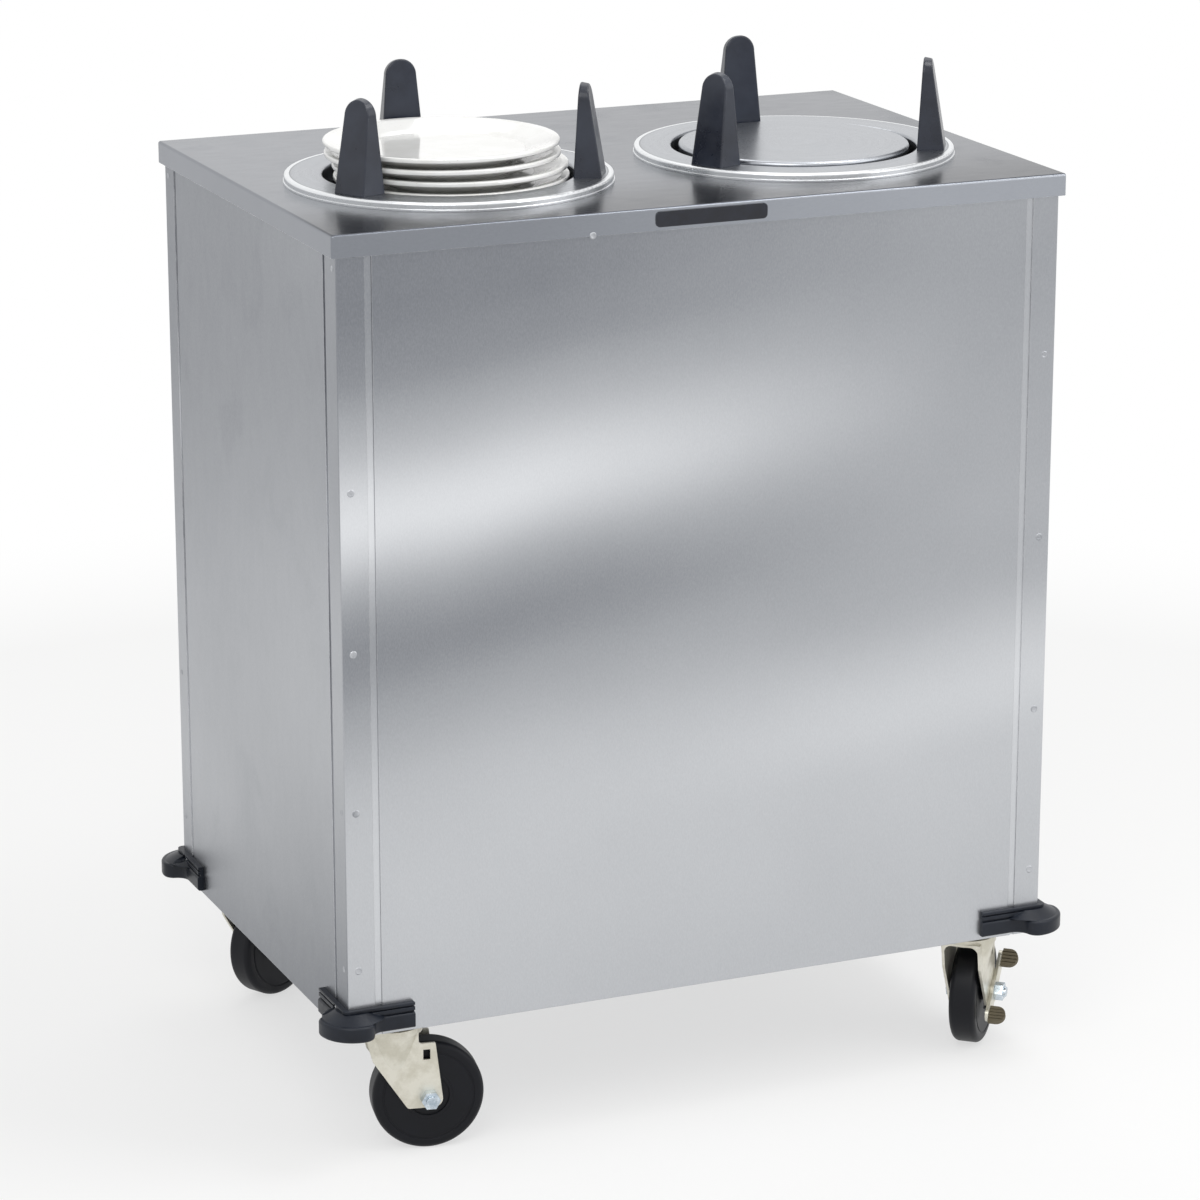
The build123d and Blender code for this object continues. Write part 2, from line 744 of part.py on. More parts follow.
def make_axle(has_brake):
    """Bolt with its head on the inner side, nut on the outer side, and the sleeve between the legs."""
    nut_face = leg_outer + (lever_sheet + 2 * lever_gap if has_brake else 0)
    bolt = cross_rod(trail, wheel_radius, (-nut_face - axle_nut - axle_end, leg_outer), axle_radius)
    bolt += Pos(trail, leg_outer + axle_head, wheel_radius) * Rot(90, 0, 0) * hexagon(axle_flats, axle_head)
    nut = Pos(trail, -nut_face, wheel_radius) * Rot(90, 0, 0) * hexagon(axle_flats, axle_nut)
    nut -= cross_rod(trail, wheel_radius, (-nut_face - axle_nut - 1, -nut_face + 1), axle_radius + sleeve_gap)
    sleeve = cross_rod(trail, wheel_radius, (-leg_gap / 2, leg_gap / 2), sleeve_radius)
    sleeve -= cross_rod(trail, wheel_radius, (-leg_gap / 2, leg_gap / 2), axle_radius + sleeve_gap)
    return [bolt, nut, sleeve]


def make_lever():
    """Rocker on the outer side of the fork, turning on the axle bolt."""
    bar = Pos(trail, wheel_radius) * Circle(lever_boss)
    for end in (lever_high, lever_low):
        middle = Pos(trail + end[0] / 2, wheel_radius + end[1] / 2)
        tilt = degrees(atan2(end[1], end[0]))
        bar += middle * Rot(0, 0, tilt) * SlotCenterToCenter(hypot(*end), lever_width)
    bar -= Pos(trail, wheel_radius) * Circle(axle_radius + running_gap)
    face = -leg_outer - lever_gap
    return extrude(Plane(origin=(0, face, 0), x_dir=(1, 0, 0), z_dir=(0, -1, 0)) * bar, lever_sheet)


def make_pad(end):
    """Ribbed D-shaped tread on one end of the rocker."""
    length = hypot(*end)
    sign = 1 if end[0] > 0 else -1
    along = Vector(sign * end[0] / length, 0, sign * end[1] / length)
    face = -leg_outer - lever_gap - lever_sheet
    place = Vector(trail + end[0], face, wheel_radius + end[1])
    tread = Plane(origin=place, x_dir=along, z_dir=Vector(-along.Z, 0, along.X))
    half = pad_width / 2
    plan = outline([
        (-half, 0, 0),
        (half, 0, 0),
        (half, -pad_reach, half * pad_rounding),
        (-half, -pad_reach, half * pad_rounding),
    ])
    pad = extrude(tread * plan, pad_thick / 2, both=True)
    for rib in range(pad_ribs):
        offset = -half + pad_width * (rib + 1) / (pad_ribs + 1)
        groove = Box(pad_rib, pad_reach * 3, pad_rib * 2)
        pad -= tread.location * Pos(offset, 0, pad_thick / 2) * groove
    return pad


def write_parts():
    os.makedirs("parts", exist_ok=True)
    save("top_deck", make_top_deck())
    front = make_panel(body_length, body_depth)
    side = Rot(0, 0, -90) * make_panel(body_depth, body_length)
    save("front_panel", front)
    save("back_panel", mirror(front, about=Plane.XZ))
    save("left_panel", side)
    save("right_panel", mirror(side, about=Plane.YZ))
    post = make_post()
    bumper = make_bumper()
    rivet = make_bumper_rivet()
    for name, sides in corners.items():
        save(f"{name}_post", at_corner(post, sides))
        save(f"{name}_bumper", at_corner(bumper, sides))
    save("bumper_rivets", [at_corner(rivet, sides) for sides in corners.values()])
    save("base_pan", make_base_pan())
    save("name_plate", make_name_plate())
    write_dispensers()
    write_casters()


def write_dispensers():
    collar = make_collar()
    tube = make_tube()
    guide = make_guide()
    guide_names = ("back", "left", "right")
    screws = []
    for side, (x, y) in dispenser_places.items():
        centre = Pos(x, y, 0)
        save(f"{side}_collar", centre * collar)
        save(f"{side}_tube", centre * tube)
        for name, angle in zip(guide_names, guide_angles):
            save(f"{side}_dispenser_{name}_guide", centre * Pos(0, 0, collar_top) * Rot(0, 0, angle) * guide)
        screws += [centre * screw for screw in make_guide_screws()]
        top = carrier_tops[side]
        spider_top = top - carrier_sheet - leg_length
        spider_under = spider_top - spider_thickness
        spring = make_spring(spider_under + hook_seat, anchor_level + anchor_sheet / 2 - hook_seat)
        save(f"{side}_carrier", centre * make_carrier(top))
        save(f"{side}_spider", centre * make_spider(spider_top))
        save(f"{side}_springs", [centre * Rot(0, 0, angle) * spring for angle in slot_angles])
    save("guide_screws", screws)
    dish = make_dish()
    x, y = dispenser_places["left"]
    for number, shift in enumerate(dish_shift):
        level = carrier_tops["left"] + number * dish_pitch
        save(f"plate_{number + 1}", Pos(x + shift[0], y + shift[1], level) * dish)


def write_casters():
    caster_top = make_caster_plate()
    fork = make_fork()
    tyre = make_tyre()
    hub = make_hub()
    plates = []
    balls = []
    bolts = []
    for name, place in caster_places().items():
        at_axis = Pos(*place, 0)
        turn = at_axis * Rot(0, 0, caster_turns[name])
        plates.append(at_axis * caster_top)
        balls += [at_axis * ball for ball in make_balls()]
        bolts += make_caster_bolts(place)
        save(f"{name}_fork", turn * fork)
        save(f"{name}_tyre", turn * tyre)
        save(f"{name}_wheel_hub", turn * hub)
        save(f"{name}_axle", [turn * piece for piece in make_axle(name in braked)])
        if name in braked:
            save(f"{name}_brake_lever", turn * make_lever())
            save(f"{name}_brake_pads", [turn * make_pad(end) for end in (lever_high, lever_low)])
    save("caster_plates", plates)
    save("swivel_balls", balls)
    save("caster_bolts", bolts)


write_parts()
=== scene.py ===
import math
import bmesh
import bpy
from mathutils import Matrix, Vector


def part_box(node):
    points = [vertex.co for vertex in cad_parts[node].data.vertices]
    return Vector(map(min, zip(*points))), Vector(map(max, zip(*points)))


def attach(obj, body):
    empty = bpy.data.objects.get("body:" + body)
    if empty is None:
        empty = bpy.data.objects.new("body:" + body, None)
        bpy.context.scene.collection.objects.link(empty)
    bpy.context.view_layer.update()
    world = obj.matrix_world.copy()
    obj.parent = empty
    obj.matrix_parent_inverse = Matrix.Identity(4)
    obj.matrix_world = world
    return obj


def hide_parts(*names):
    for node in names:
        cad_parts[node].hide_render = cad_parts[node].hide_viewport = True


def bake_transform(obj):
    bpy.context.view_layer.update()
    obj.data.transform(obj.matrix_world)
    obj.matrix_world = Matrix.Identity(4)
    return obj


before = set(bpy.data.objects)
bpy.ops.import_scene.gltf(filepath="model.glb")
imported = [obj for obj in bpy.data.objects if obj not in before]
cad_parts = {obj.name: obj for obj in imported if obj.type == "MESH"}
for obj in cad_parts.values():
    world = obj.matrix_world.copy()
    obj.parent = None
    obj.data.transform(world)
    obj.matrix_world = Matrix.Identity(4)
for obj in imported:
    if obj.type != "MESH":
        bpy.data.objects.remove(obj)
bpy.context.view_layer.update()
print("frame loaded:", len(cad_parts), "pieces")


def middleOf(node):
    low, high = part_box(node)
    return (low[0] + high[0]) / 2, (low[1] + high[1]) / 2


corners = {"front_left": (-1, -1), "front_right": (1, -1), "back_left": (-1, 1), "back_right": (1, 1)}
wells = {side: middleOf(f"{side}_carrier") for side in ("left", "right")}


def shade(red, green, blue):
    return tuple(((c / 255 + 0.055) / 1.055) ** 2.4 for c in (red, green, blue)) + (1.0,)


# node helpers

def put(tree, kind, inputs=None, **settings):
    node = tree.nodes.new(kind)
    for key, value in settings.items():
        setattr(node, key, value)
    for key, value in (inputs or {}).items():
        feed(tree, value, node.inputs[key])
    return node


def feed(tree, value, socket):
    if isinstance(value, bpy.types.NodeSocket):
        tree.links.new(value, socket)
    else:
        socket.default_value = value


def maths(tree, operation, first, second=0.0, third=0.0, clamp=False):
    node = put(tree, "ShaderNodeMath", {0: first, 1: second, 2: third}, operation=operation, use_clamp=clamp)
    return node.outputs[0]


def vectorMaths(tree, operation, first, second=(0.0, 0.0, 0.0)):
    node = put(tree, "ShaderNodeVectorMath", {0: first, 1: second}, operation=operation)
    return node.outputs["Value" if operation in ("DOT_PRODUCT", "LENGTH") else "Vector"]


def spread(tree, value, low, high, toLow=0.0, toHigh=1.0):
    inputs = {"Value": value, "From Min": low, "From Max": high, "To Min": toLow, "To Max": toHigh}
    return put(tree, "ShaderNodeMapRange", inputs, interpolation_type="SMOOTHSTEP").outputs["Result"]


def noise(tree, vector, scale, detail=3.0, roughness=0.5, distortion=0.0):
    inputs = {"Vector": vector, "Scale": scale, "Detail": detail}
    inputs.update({"Roughness": roughness, "Distortion": distortion})
    return put(tree, "ShaderNodeTexNoise", inputs).outputs["Fac"]


def tint(tree, factor, first, second):
    node = put(tree, "ShaderNodeMix", data_type="RGBA")
    for index, value in ((0, factor), (6, first), (7, second)):
        feed(tree, value, node.inputs[index])
    return node.outputs[2]


def split(tree, vector):
    return put(tree, "ShaderNodeSeparateXYZ", {0: vector}).outputs


def joined(tree, x, y, z):
    return put(tree, "ShaderNodeCombineXYZ", {0: x, 1: y, 2: z}).outputs[0]


def newGroup(name, inputs, outputs):
    group = bpy.data.node_groups.new(name, "ShaderNodeTree")
    kinds = {"f": "NodeSocketFloat", "v": "NodeSocketVector"}
    for label, kind, value in inputs:
        socket = group.interface.new_socket(name=label, in_out="INPUT", socket_type=kinds[kind])
        socket.default_value = value
    for label, kind in outputs:
        group.interface.new_socket(name=label, in_out="OUTPUT", socket_type=kinds[kind])
    return group, group.nodes.new("NodeGroupInput").outputs, group.nodes.new("NodeGroupOutput").inputs


def place(tree, group, inputs):
    node = put(tree, "ShaderNodeGroup", node_tree=group)
    for key, value in inputs.items():
        feed(tree, value, node.inputs[key])
    return node.outputs


# finishes that several materials share

handlingMarks = {
    "smudge": {"scale": 9.0, "detail": 4.0, "roughness": 0.6, "distortion": 0.6, "reach": (0.52, 0.72)},
    "speck": {"scale": 260.0, "detail": 2.0, "roughness": 0.6, "distortion": 0.0, "reach": (0.66, 0.74)},
    "scratch": {"scale": 190.0, "detail": 3.0, "roughness": 0.75, "distortion": 1.5, "reach": (0.70, 0.80)},
    "scratchStretch": (1.0, 1.0, 0.08),
}
turnedRadius = 0.16  # turns an angle round a well into a length
edgeMask = {
    "bend": (0.01, 0.25),
    "broken": {"scale": 60.0, "detail": 3.0, "roughness": 0.5, "distortion": 0.0,
               "reach": (0.35, 0.65, 0.35, 1.0)},
}


def patches(tree, vector, look):
    field = noise(tree, vector, look["scale"], look["detail"], look["roughness"], look["distortion"])
    return spread(tree, field, *look["reach"])


def buildBrushedGrain():
    group, entry, leave = newGroup(
        "brushedGrain",
        [("Vector", "v", (0, 0, 0)), ("Stretch", "v", (1, 1, 1)), ("Fine", "f", 900.0)],
        [("Grain", "f"), ("Streak", "f")],
    )
    drawn = vectorMaths(group, "MULTIPLY", entry["Vector"], entry["Stretch"])
    feed(group, noise(group, drawn, entry["Fine"], 4.0, 0.7), leave["Grain"])
    feed(group, noise(group, drawn, maths(group, "MULTIPLY", entry["Fine"], 0.1), 2.0), leave["Streak"])
    return group


def buildTurnedPlace():
    group, entry, leave = newGroup(
        "turnedPlace",
        [("Vector", "v", (0, 0, 0)), ("Centre", "v", (0, 0, 0))],
        [("Around", "v"), ("Radius", "f")],
    )
    fromCentre = vectorMaths(group, "SUBTRACT", entry["Vector"], entry["Centre"])
    flat = vectorMaths(group, "MULTIPLY", fromCentre, (1, 1, 0))
    radius = vectorMaths(group, "LENGTH", flat)
    parts = split(group, flat)
    turn = maths(group, "ARCTAN2", parts[1], parts[0])
    height = split(group, entry["Vector"])[2]
    along = maths(group, "MULTIPLY", turn, turnedRadius)
    feed(group, joined(group, along, radius, height), leave["Around"])
    feed(group, radius, leave["Radius"])
    return group


def buildSheetSheen():
    group, entry, leave = newGroup(
        "sheetSheen",
        [("Vector", "v", (0, 0, 0)), ("Slope", "f", 0.0), ("Wander", "f", 0.05)],
        [("Height", "f")],
    )
    parts = split(group, entry["Vector"])
    wander = maths(group, "SUBTRACT", noise(group, entry["Vector"], 2.3, 2.0), 0.5)
    height = maths(group, "MULTIPLY_ADD", parts[0], entry["Slope"], parts[2])
    feed(group, maths(group, "MULTIPLY_ADD", wander, entry["Wander"], height), leave["Height"])
    return group


def buildHandling():
    group, entry, leave = newGroup(
        "handling",
        [("Vector", "v", (0, 0, 0)), ("Scale", "f", 1.0)],
        [("Smudge", "f"), ("Speck", "f"), ("Scratch", "f")],
    )
    sized = vectorMaths(group, "SCALE", entry["Vector"])
    feed(group, entry["Scale"], sized.node.inputs["Scale"])
    drawn = vectorMaths(group, "MULTIPLY", sized, handlingMarks["scratchStretch"])
    feed(group, patches(group, sized, handlingMarks["smudge"]), leave["Smudge"])
    feed(group, patches(group, sized, handlingMarks["speck"]), leave["Speck"])
    feed(group, patches(group, drawn, handlingMarks["scratch"]), leave["Scratch"])
    return group


# mask of rounded edges, used for worn edges and for painted edge highlights
def buildEdgeWearAndHighlightMask():
    group, entry, leave = newGroup(
        "edgeWearAndHighlightMask",
        [("Width", "f", 0.001), ("Vector", "v", (0, 0, 0))],
        [("Edge", "f"), ("Round", "v")],
    )
    bevel = put(group, "ShaderNodeBevel", {"Radius": entry["Width"]}, samples=4).outputs[0]
    flat = put(group, "ShaderNodeNewGeometry").outputs["Normal"]
    bend = maths(group, "SUBTRACT", 1.0, vectorMaths(group, "DOT_PRODUCT", bevel, flat))
    broken = patches(group, entry["Vector"], edgeMask["broken"])
    feed(group, maths(group, "MULTIPLY", spread(group, bend, *edgeMask["bend"]), broken), leave["Edge"])
    feed(group, bevel, leave["Round"])
    return group


def buildMouldedSkin():
    group, entry, leave = newGroup(
        "mouldedSkin",
        [("Vector", "v", (0, 0, 0)), ("Fine", "f", 700.0)],
        [("Grain", "f"), ("Tone", "f")],
    )
    cell = put(group, "ShaderNodeTexVoronoi", {"Vector": entry["Vector"], "Scale": entry["Fine"]})
    soft = noise(group, entry["Vector"], maths(group, "MULTIPLY", entry["Fine"], 0.4), 3.0)
    feed(group, maths(group, "MULTIPLY_ADD", cell.outputs["Distance"], 0.6, soft), leave["Grain"])
    feed(group, noise(group, entry["Vector"], 14.0, 4.0, 0.6), leave["Tone"])
    return group


groups = {
    "grain": buildBrushedGrain(),
    "turned": buildTurnedPlace(),
    "sheen": buildSheetSheen(),
    "handling": buildHandling(),
    "edge": buildEdgeWearAndHighlightMask(),
    "skin": buildMouldedSkin(),
}
print("shared finishes built")


# materials

def newMaterial(name):
    material = bpy.data.materials.new(name)
    material.use_nodes = True
    tree = material.node_tree
    shader = tree.nodes["Principled BSDF"]
    here = put(tree, "ShaderNodeTexCoord").outputs["Object"]
    return material, tree, shader, here


def bumped(tree, height, strength, distance, normal=None):
    inputs = {"Height": height, "Strength": strength, "Distance": distance}
    if normal is not None:
        inputs["Normal"] = normal
    return put(tree, "ShaderNodeBump", inputs).outputs[0]


# how wide and how strongly each finish is painted pale along its edges, partly as wear and partly as a
# painted highlight
edgeWearAndHighlightLooks = {
    "sheet": {"width": 0.0012, "strength": 0.70, "bareAndHighlight": shade(238, 240, 242)},
    "turned": {"width": 0.0008, "strength": 0.60, "bareAndHighlight": shade(240, 241, 243)},
    "plated": {"width": 0.0009, "strength": 0.55, "bareAndHighlight": shade(244, 243, 238)},
    "enamel": {"width": 0.0008, "strength": 0.50, "bareAndHighlight": shade(120, 124, 132)},
}


# pales the edges toward the bare colour: wear, and a painted highlight along the edges
def paintEdgeWearAndHighlight(tree, here, colour, look):
    edge = place(tree, groups["edge"], {"Vector": here, "Width": look["width"]})
    worn = maths(tree, "MULTIPLY", edge["Edge"], look["strength"])
    return tint(tree, worn, colour, look["bareAndHighlight"]), edge["Round"]


def ramp(tree, value, stops):
    node = put(tree, "ShaderNodeValToRGB", {"Fac": value})
    node.color_ramp.interpolation = "CARDINAL"
    elements = node.color_ramp.elements
    elements[0].position, elements[0].color = stops[0][0], (stops[0][1],) * 3 + (1.0,)
    elements[1].position, elements[1].color = stops[-1][0], (stops[-1][1],) * 3 + (1.0,)
    for position, level in stops[1:-1]:
        elements.new(position).color = (level,) * 3 + (1.0,)
    return node.outputs["Color"]


# painted reflections: soft bands of light and shade painted into the brushed sheets' colour, from the skirt
# (0) to the deck (1), at the two ends of each face
panelSteel = {
    "dark": shade(124, 127, 133),
    "light": shade(224, 226, 229),
    "roughness": 0.30,
    "stretch": (1.0, 1.0, 0.35),
    "fine": 800.0,
    "grainDepth": 0.08,
    "grainTint": 0.26,
    "grainRelief": 0.0002,
    "cloudTint": 0.08,
    "cloudScale": 6.0,
    "streakDull": 0.08,
    "smudgeDull": 0.05,
    "slope": -0.12,
    "wander": 0.05,
    "height": (0.156, 1.056),
    # the reveal's lift is a painted highlight along the joggle strip
    "reveal": {"width": 0.008, "soft": 0.0004, "lift": 0.12},
    "front": {
        "left": ((0.0, 0.60), (0.26, 0.66), (0.38, 0.54), (0.48, 0.27), (0.555, 0.14), (0.63, 0.50),
                 (0.70, 0.96), (0.78, 0.62), (0.86, 0.22), (0.93, 0.07), (1.0, 0.04)),
        "right": ((0.0, 0.58), (0.22, 0.66), (0.31, 0.76), (0.42, 0.44), (0.55, 0.40), (0.68, 0.34),
                  (0.82, 0.28), (1.0, 0.28)),
    },
    "side": {
        "front": ((0.0, 0.0), (0.12, 0.18), (0.29, 0.40), (0.42, 0.44), (0.60, 0.32), (0.80, 0.14),
                  (1.0, 0.14)),
        "back": ((0.0, 0.10), (0.12, 0.40), (0.25, 0.42), (0.48, 0.24), (0.70, 0.08), (1.0, 0.05)),
    },
    "fade": {"front": (-0.30, 0.40), "side": (-0.28, 0.28)},
}
# the deck's tone between dark and light is painted reflection and shade: the lip lighter to the right, the
# top darker to the right and towards the front
deckSteel = {
    "dark": shade(66, 69, 76),
    "light": shade(176, 180, 187),
    "roughness": 0.19,
    "stretch": (0.30, 1.0, 1.0),
    "fine": 900.0,
    "grainDepth": 0.05,
    "grainTint": 0.12,
    "grainRelief": 0.0002,
    "cloudTint": 0.10,
    "cloudScale": 6.0,
    "streakDull": 0.08,
    "smudgeDull": 0.05,
    "lipEnds": (0.48, 0.80),
    "topEnds": (0.43, 0.29),
    "frontFade": (-0.29, -0.10),
    "fade": (-0.45, 0.45),
}


# how far a face turns sideways or upward before it takes the other set of painted light and shade bands
faceTurn = (0.4, 0.9)


def upTheSheet(tree, height, look):
    node = put(tree, "ShaderNodeMapRange", {"Value": height, "From Min": look["height"][0],
                                            "From Max": look["height"][1]})
    return node.outputs["Result"]


def bandsBetween(tree, along, up, stops, ends):
    return tint(tree, along, ramp(tree, up, stops[ends[0]]), ramp(tree, up, stops[ends[1]]))


# paints the panels' reflections as light and dark bands, one set on the front faces and another on the side
# faces
def paintedPanelReflections(tree, here, look):
    x, y, z = split(tree, here)
    sheen = place(tree, groups["sheen"], {"Vector": here, "Slope": look["slope"], "Wander": look["wander"]})
    across = spread(tree, x, *look["fade"]["front"])
    risen = upTheSheet(tree, sheen["Height"], look)
    front = bandsBetween(tree, across, risen, look["front"], ("left", "right"))
    along = spread(tree, y, *look["fade"]["side"])
    side = bandsBetween(tree, along, upTheSheet(tree, z, look), look["side"], ("front", "back"))
    normal = put(tree, "ShaderNodeNewGeometry").outputs["Normal"]
    sideways = spread(tree, maths(tree, "ABSOLUTE", split(tree, normal)[0]), *faceTurn)
    # a painted highlight lifts the colour along the reveal strip beside each panel's end
    reveal, panelEnds = look["reveal"], (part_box("front_panel")[1][0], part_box("left_panel")[1][1])
    revealHighlight = tint(tree, sideways, revealHighlightMask(tree, x, panelEnds[0], reveal),
                 revealHighlightMask(tree, y, panelEnds[1], reveal))
    return maths(tree, "MULTIPLY_ADD", revealHighlight, reveal["lift"], tint(tree, sideways, front, side))


# mask of the narrow joggle that shows on a post beside each panel's end, where a painted highlight lightens
# the sheet
def revealHighlightMask(tree, distance, start, look):
    out, soft, end = maths(tree, "ABSOLUTE", distance), look["soft"], start + look["width"]
    return maths(tree, "SUBTRACT", spread(tree, out, start - soft, start + soft),
                 spread(tree, out, end - soft, end + soft))


# paints the deck's reflections and shade, with separate levels on the lip and on the top
def paintedDeckReflections(tree, here, look):
    across = spread(tree, split(tree, here)[0], *look["fade"])
    lip = spread(tree, across, 0.0, 1.0, *look["lipEnds"])
    top = spread(tree, across, 0.0, 1.0, *look["topEnds"])
    top = maths(tree, "MULTIPLY", top, spread(tree, split(tree, here)[1], *look["frontFade"]))
    up = split(tree, put(tree, "ShaderNodeNewGeometry").outputs["Normal"])[2]
    return tint(tree, spread(tree, up, *faceTurn), lip, top)


def makeSheetSteel(name, look, paintedReflectionsOf):
    material, tree, shader, here = newMaterial(name)
    grain = place(tree, groups["grain"], {"Vector": here, "Stretch": look["stretch"], "Fine": look["fine"]})
    marks = place(tree, groups["handling"], {"Vector": here})
    # random cloud and grain vary the level of the painted reflections
    cloud = maths(tree, "SUBTRACT", noise(tree, here, look["cloudScale"], 3.0, 0.55), 0.5)
    level = maths(tree, "MULTIPLY_ADD", cloud, look["cloudTint"], paintedReflectionsOf(tree, here, look))
    fleck = maths(tree, "SUBTRACT", grain["Grain"], 0.5)
    level = maths(tree, "MULTIPLY_ADD", fleck, look["grainTint"], level, clamp=True)
    colour = tint(tree, level, look["dark"], look["light"])
    colour, rounded = paintEdgeWearAndHighlight(tree, here, colour, edgeWearAndHighlightLooks["sheet"])
    feed(tree, colour, shader.inputs["Base Color"])
    rough = maths(tree, "MULTIPLY_ADD", grain["Streak"], look["streakDull"], look["roughness"])
    rough = maths(tree, "MULTIPLY_ADD", marks["Smudge"], look["smudgeDull"], rough)
    feed(tree, rough, shader.inputs["Roughness"])
    relief = bumped(tree, grain["Grain"], look["grainDepth"], look["grainRelief"], rounded)
    feed(tree, relief, shader.inputs["Normal"])
    shader.inputs["Metallic"].default_value = 1.0
    return material


turnedSteel = {
    "dark": shade(150, 153, 158),
    "light": shade(200, 203, 208),
    # a painted highlight on the rolled rim, and painted shade for the groove just inside it
    "rolledHighlight": shade(232, 234, 236),
    "groove": shade(96, 99, 105),
    "roughness": 0.24,
    "stretch": (0.05, 1.0, 1.0),
    "fine": 1400.0,
    "rolledFrom": 0.1765,
    "grooveWidth": 0.0018,
    "grooveTint": 0.7,
    "flecks": 0.40,
    "streaks": 0.30,
    "grainDepth": 0.05,
    "grainRelief": 0.0001,
    "grainDull": 0.08,
    "smudgeDull": 0.04,
}


def makeTurnedSteel(name, look, centre):
    material, tree, shader, here = newMaterial(name)
    turned = place(tree, groups["turned"], {"Vector": here, "Centre": (centre[0], centre[1], 0.0)})
    drawn = {"Vector": turned["Around"], "Stretch": look["stretch"], "Fine": look["fine"]}
    grain = place(tree, groups["grain"], drawn)
    marks = place(tree, groups["handling"], {"Vector": here})
    fleck = maths(tree, "MULTIPLY", grain["Grain"], look["flecks"])
    level = maths(tree, "MULTIPLY_ADD", grain["Streak"], look["streaks"], fleck, clamp=True)
    colour = tint(tree, level, look["dark"], look["light"])
    # painted shade for the groove and a painted highlight on the rolled rim, as rings of colour rather than
    # shape
    start, width = look["rolledFrom"], look["grooveWidth"]
    groove = spread(tree, turned["Radius"], start - width, start - width / 2)
    colour = tint(tree, maths(tree, "MULTIPLY", groove, look["grooveTint"]), colour, look["groove"])
    rolledHighlight = spread(tree, turned["Radius"], start - width / 4, start + width / 4)
    colour = tint(tree, rolledHighlight, colour, look["rolledHighlight"])
    colour, rounded = paintEdgeWearAndHighlight(tree, here, colour, edgeWearAndHighlightLooks["turned"])
    feed(tree, colour, shader.inputs["Base Color"])
    rough = maths(tree, "MULTIPLY_ADD", grain["Grain"], look["grainDull"], look["roughness"])
    rough = maths(tree, "MULTIPLY_ADD", marks["Smudge"], look["smudgeDull"], rough)
    feed(tree, rough, shader.inputs["Roughness"])
    relief = bumped(tree, grain["Grain"], look["grainDepth"], look["grainRelief"], rounded)
    feed(tree, relief, shader.inputs["Normal"])
    shader.inputs["Metallic"].default_value = 1.0
    return material


platedSteel = {
    "caster": {"pale": shade(224, 221, 209), "deep": shade(203, 199, 184), "roughness": 0.38, "metal": 0.8},
    "bolt": {"pale": shade(222, 232, 240), "deep": shade(150, 165, 178), "roughness": 0.22, "metal": 1.0},
    "mill": {"pale": shade(190, 192, 196), "deep": shade(140, 143, 148), "roughness": 0.34, "metal": 1.0},
    "spring": {"pale": shade(176, 178, 182), "deep": shade(104, 106, 112), "roughness": 0.28, "metal": 1.0},
    "rivet": {"pale": shade(236, 238, 240), "deep": shade(180, 184, 190), "roughness": 0.20, "metal": 1.0},
}


platedCoat = {
    "marks": 3.0,
    "cloud": 42.0,
    "cloudReach": (0.34, 0.66),
    "cloudDull": 0.16,
    "cloudDepth": 0.12,
    "cloudRelief": 0.0006,
    "spangle": 420.0,
    "spangleTint": 0.16,
    "smudgeTint": 0.35,
    "smudgeDull": 0.10,
}


def makePlatedSteel(name, look, coat):
    material, tree, shader, here = newMaterial(name)
    marks = place(tree, groups["handling"], {"Vector": here, "Scale": coat["marks"]})
    cloud = noise(tree, here, coat["cloud"], 5.0, 0.62)
    spangle = put(tree, "ShaderNodeTexVoronoi", {"Vector": here, "Scale": coat["spangle"]}).outputs["Color"]
    level = spread(tree, cloud, *coat["cloudReach"])
    level = maths(tree, "MULTIPLY_ADD", split(tree, spangle)[0], coat["spangleTint"], level, clamp=True)
    colour = tint(tree, level, look["deep"], look["pale"])
    colour = tint(tree, maths(tree, "MULTIPLY", marks["Smudge"], coat["smudgeTint"]), colour, look["deep"])
    colour, rounded = paintEdgeWearAndHighlight(tree, here, colour, edgeWearAndHighlightLooks["plated"])
    feed(tree, colour, shader.inputs["Base Color"])
    smooth = look["roughness"] - coat["cloudDull"] / 2
    rough = maths(tree, "MULTIPLY_ADD", cloud, coat["cloudDull"], smooth)
    rough = maths(tree, "MULTIPLY_ADD", marks["Smudge"], coat["smudgeDull"], rough)
    feed(tree, rough, shader.inputs["Roughness"])
    feed(tree, bumped(tree, cloud, coat["cloudDepth"], coat["cloudRelief"], rounded), shader.inputs["Normal"])
    shader.inputs["Metallic"].default_value = look["metal"]
    return material


mouldedLook = {
    "guide": {"colour": shade(19, 24, 37), "worn": shade(78, 86, 102), "roughness": 0.28, "fine": 900.0,
              "depth": 0.06, "specular": 0.5},
    "bumper": {"colour": shade(11, 16, 26), "worn": shade(58, 66, 80), "roughness": 0.38, "fine": 600.0,
               "depth": 0.14, "specular": 0.32},
    "tyre": {"colour": shade(5, 7, 14), "worn": shade(26, 29, 40), "roughness": 0.44, "fine": 800.0,
             "depth": 0.14, "specular": 0.26},
    "pad": {"colour": shade(104, 96, 78), "worn": shade(138, 130, 110), "roughness": 0.70, "fine": 900.0,
            "depth": 0.22, "specular": 0.3},
}


mouldedWear = {
    "marks": 2.0,
    "edgeWidth": 0.0014,
    "edgeTint": 0.40,
    "toneReach": (0.3, 0.7, 0.0, 0.22),
    "toneDull": 0.16,
    "scratchTint": 0.20,
    "smudgeDull": 0.10,
    "grainRelief": 0.0002,
}


